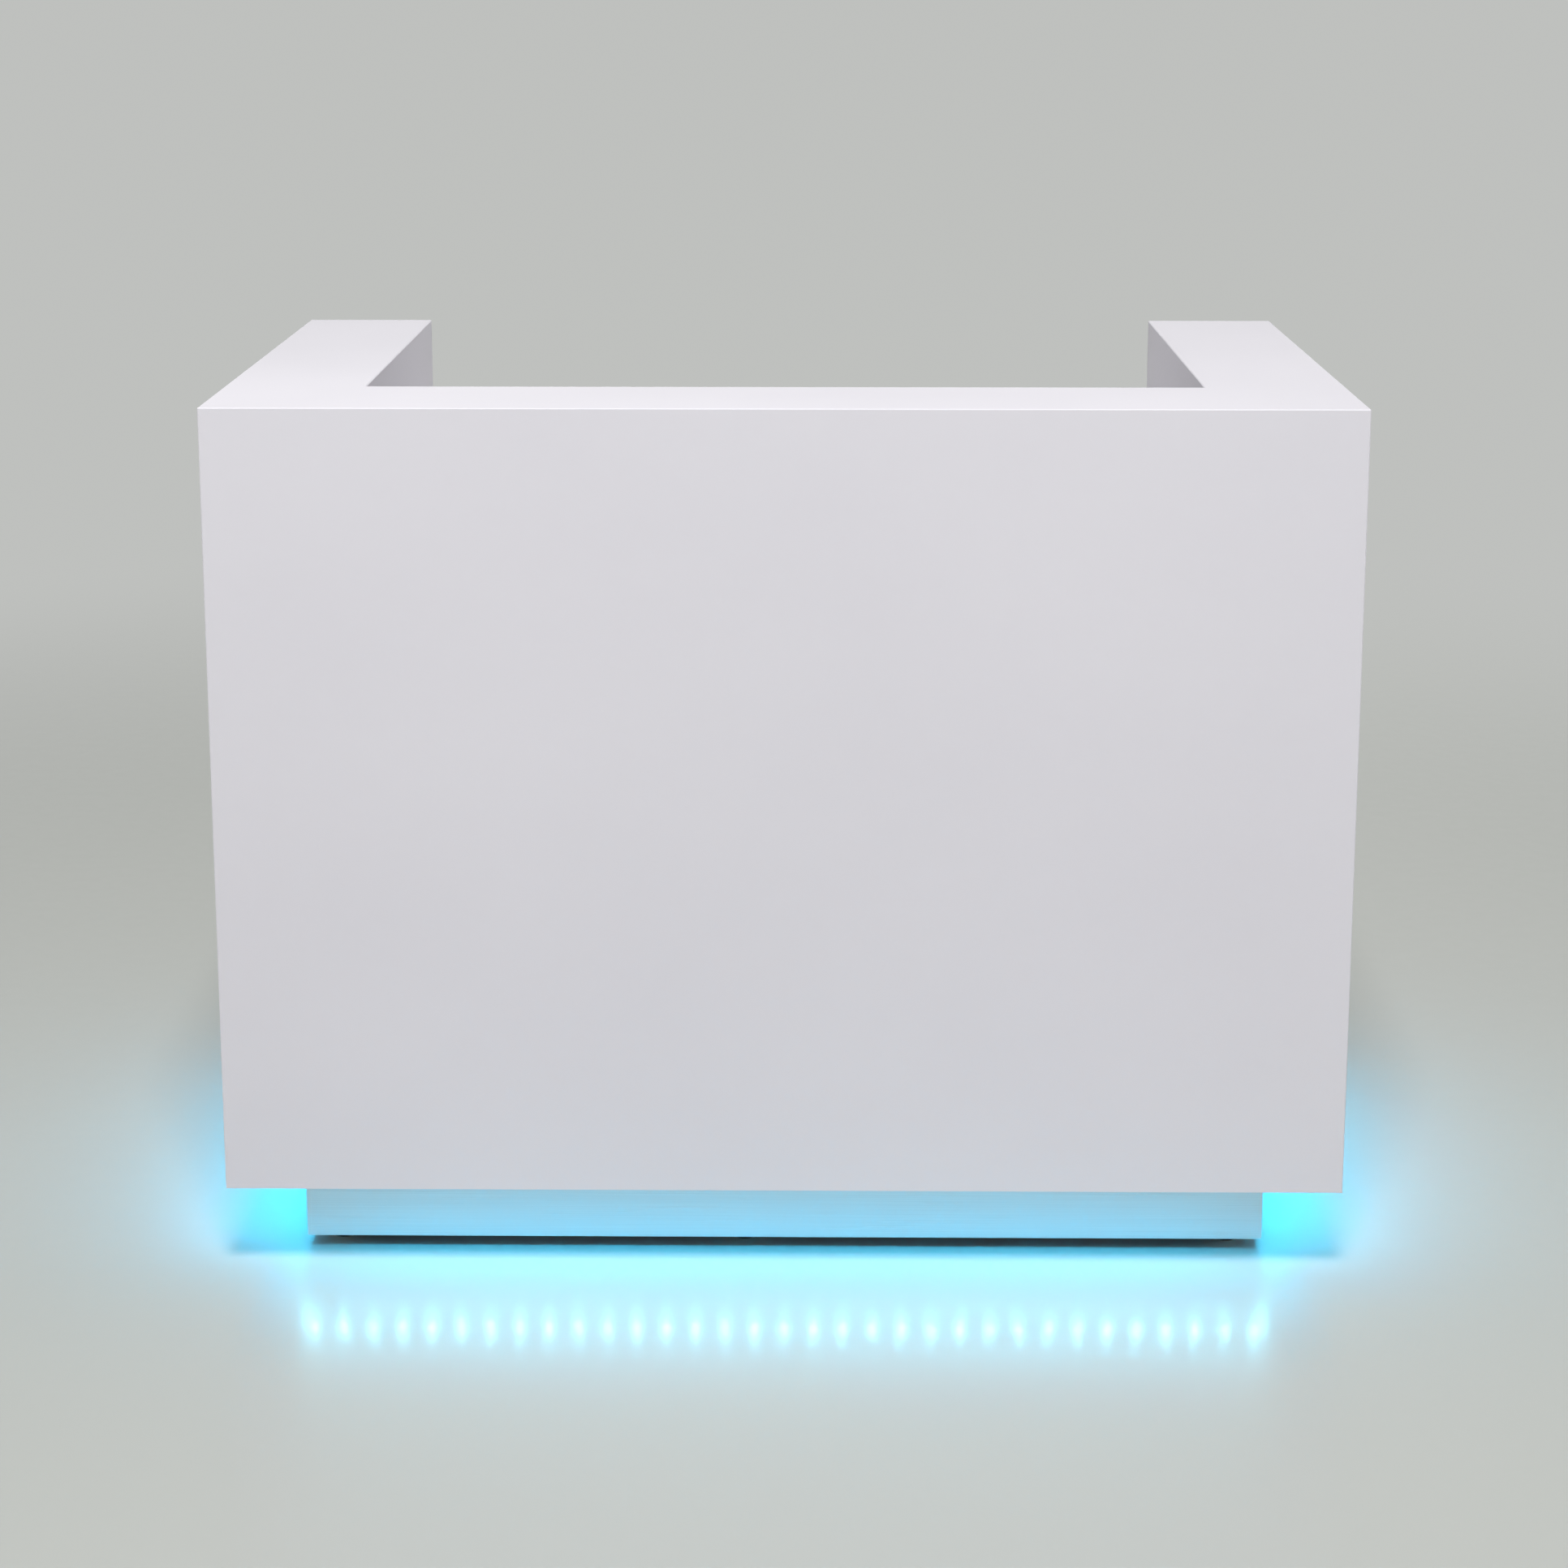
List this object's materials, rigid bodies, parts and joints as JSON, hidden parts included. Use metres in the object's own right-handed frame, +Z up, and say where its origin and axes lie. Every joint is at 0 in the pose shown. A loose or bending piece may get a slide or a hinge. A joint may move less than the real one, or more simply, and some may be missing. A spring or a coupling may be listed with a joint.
{
  "type": "reception desk",
  "caption": "U-shaped white reception desk on a recessed lit plinth, with a worktop and a hanging drawer pedestal on the staff side.",
  "frame": {"origin": "on the floor under the middle of the desk's outline", "axes": "+Z up, the visitor stands at -Y and the receptionist at +Y, +X to the visitor's right"},
  "size_m": [1.23, 0.76, 0.97],
  "materials": {
    "white_laminate": "matt white laminate on board, eased edges",
    "underside_board": "plain white-faced board",
    "raw_board": "bare chipboard and softwood",
    "brushed_kick": "board faced with brushed aluminium sheet",
    "dark_plinth": "black-faced board",
    "insert_brass": "machined",
    "zinc_steel": "zinc plated",
    "light_tape": "cyan light chips on a flexible strip",
    "driver_case": "plain extruded",
    "controller_case": "moulded",
    "lead_sheath": "smooth sheath",
    "grey_plastic": "moulded, fine texture",
    "worktop_laminate": "matt white laminate on board",
    "pedestal_board": "white melamine-faced board",
    "drawer_board": "white foil-wrapped board",
    "runner_steel": "bright zinc plated",
    "cage_steel": "bright",
    "satin_metal": "satin",
    "lock_metal": "satin nickel plated"
  },
  "bodies": {
    "desk": {"front_panel": "white_laminate", "left_side_panel": "white_laminate", "right_side_panel": "white_laminate", "counter_top": "white_laminate", "front_inner_panel": "white_laminate", "left_inner_panel": "white_laminate", "right_inner_panel": "white_laminate", "left_end_panel": "white_laminate", "right_end_panel": "white_laminate", "front_bottom_board": "underside_board", "left_bottom_board": "underside_board", "right_bottom_board": "underside_board", "wall_ribs": "raw_board", "leveller_blocks": "raw_board", "worktop_battens": "raw_board", "front_kick_board": "brushed_kick", "left_kick_board": "brushed_kick", "right_kick_board": "brushed_kick", "rear_kick_boards": "brushed_kick", "inner_plinth_rails": "dark_plinth", "leveller_inserts": "insert_brass", "front_light_tape": "light_tape", "side_light_tapes": "light_tape", "light_driver": "driver_case", "light_controller": "controller_case", "light_leads": "lead_sheath", "cable_entry_bush": "grey_plastic", "left_grommet_sleeve": "grey_plastic", "right_grommet_sleeve": "grey_plastic", "work_top": "worktop_laminate", "pedestal_left_side": "pedestal_board", "pedestal_right_side": "pedestal_board", "pedestal_top": "pedestal_board", "pedestal_bottom": "pedestal_board", "pedestal_back": "pedestal_board", "runner_cabinet_members": "runner_steel"},
    "foot_front_left": {"leveller_front_left": "zinc_steel"},
    "foot_front_middle": {"leveller_front_middle": "zinc_steel"},
    "foot_front_right": {"leveller_front_right": "zinc_steel"},
    "foot_rear_left": {"leveller_rear_left": "zinc_steel"},
    "foot_rear_right": {"leveller_rear_right": "zinc_steel"},
    "left_cap": {"left_grommet_cap": "grey_plastic"},
    "right_cap": {"right_grommet_cap": "grey_plastic"},
    "upper_drawer": {"upper_drawer_front": "pedestal_board", "upper_drawer_box": "drawer_board", "upper_drawer_handle": "satin_metal", "upper_drawer_members": "runner_steel", "lock_housing": "lock_metal"},
    "upper_middle": {"upper_middle_members": "runner_steel"},
    "upper_outer_cage": {"upper_outer_cages": "cage_steel"},
    "upper_inner_cage": {"upper_inner_cages": "cage_steel"},
    "lower_drawer": {"lower_drawer_front": "pedestal_board", "lower_drawer_box": "drawer_board", "lower_drawer_handle": "satin_metal", "lower_drawer_members": "runner_steel", "hanging_file_rails": "satin_metal"},
    "lower_middle": {"lower_middle_members": "runner_steel"},
    "lower_outer_cage": {"lower_outer_cages": "cage_steel"},
    "lower_inner_cage": {"lower_inner_cages": "cage_steel"},
    "lock_core": {"lock_barrel": "lock_metal"}
  },
  "joints": [
    {"name": "foot_front_left_screw", "type": "slide", "parent": "desk", "child": "foot_front_left", "axis": [0, 0, 1], "range_m": [-0.012, 0]},
    {"name": "foot_front_middle_screw", "type": "slide", "parent": "desk", "child": "foot_front_middle", "axis": [0, 0, 1], "range_m": [-0.012, 0]},
    {"name": "foot_front_right_screw", "type": "slide", "parent": "desk", "child": "foot_front_right", "axis": [0, 0, 1], "range_m": [-0.012, 0]},
    {"name": "foot_rear_left_screw", "type": "slide", "parent": "desk", "child": "foot_rear_left", "axis": [0, 0, 1], "range_m": [-0.012, 0]},
    {"name": "foot_rear_right_screw", "type": "slide", "parent": "desk", "child": "foot_rear_right", "axis": [0, 0, 1], "range_m": [-0.012, 0]},
    {"name": "left_cap_turn", "type": "hinge", "parent": "desk", "child": "left_cap", "pos_m": [-0.34, -0.145, 0.74], "axis": [0, 0, 1], "continuous": true},
    {"name": "right_cap_turn", "type": "hinge", "parent": "desk", "child": "right_cap", "pos_m": [0.34, -0.145, 0.74], "axis": [0, 0, 1], "continuous": true},
    {"name": "upper_drawer_slide", "type": "slide", "parent": "desk", "child": "upper_drawer", "axis": [0, 1, 0], "range_m": [0, 0.4]},
    {"name": "upper_outer_cage_slide", "type": "slide", "parent": "desk", "child": "upper_outer_cage", "axis": [0, 1, 0], "range_m": [0, 0.1]},
    {"name": "upper_middle_slide", "type": "slide", "parent": "desk", "child": "upper_middle", "axis": [0, 1, 0], "range_m": [0, 0.2]},
    {"name": "upper_inner_cage_slide", "type": "slide", "parent": "desk", "child": "upper_inner_cage", "axis": [0, 1, 0], "range_m": [0, 0.3]},
    {"name": "lower_drawer_slide", "type": "slide", "parent": "desk", "child": "lower_drawer", "axis": [0, 1, 0], "range_m": [0, 0.4]},
    {"name": "lower_outer_cage_slide", "type": "slide", "parent": "desk", "child": "lower_outer_cage", "axis": [0, 1, 0], "range_m": [0, 0.1]},
    {"name": "lower_middle_slide", "type": "slide", "parent": "desk", "child": "lower_middle", "axis": [0, 1, 0], "range_m": [0, 0.2]},
    {"name": "lower_inner_cage_slide", "type": "slide", "parent": "desk", "child": "lower_inner_cage", "axis": [0, 1, 0], "range_m": [0, 0.3]},
    {"name": "lock_turn", "type": "hinge", "parent": "upper_drawer", "child": "lock_core", "pos_m": [0.423, 0.33, 0.686], "axis": [0, 1, 0], "range_deg": [0, 90]}
  ],
  "couplings": [
    {"joint": "upper_outer_cage_slide", "follows": "upper_drawer_slide", "ratio": 0.25},
    {"joint": "upper_middle_slide", "follows": "upper_drawer_slide", "ratio": 0.5},
    {"joint": "upper_inner_cage_slide", "follows": "upper_drawer_slide", "ratio": 0.75},
    {"joint": "lower_outer_cage_slide", "follows": "lower_drawer_slide", "ratio": 0.25},
    {"joint": "lower_middle_slide", "follows": "lower_drawer_slide", "ratio": 0.5},
    {"joint": "lower_inner_cage_slide", "follows": "lower_drawer_slide", "ratio": 0.75}
  ]
}
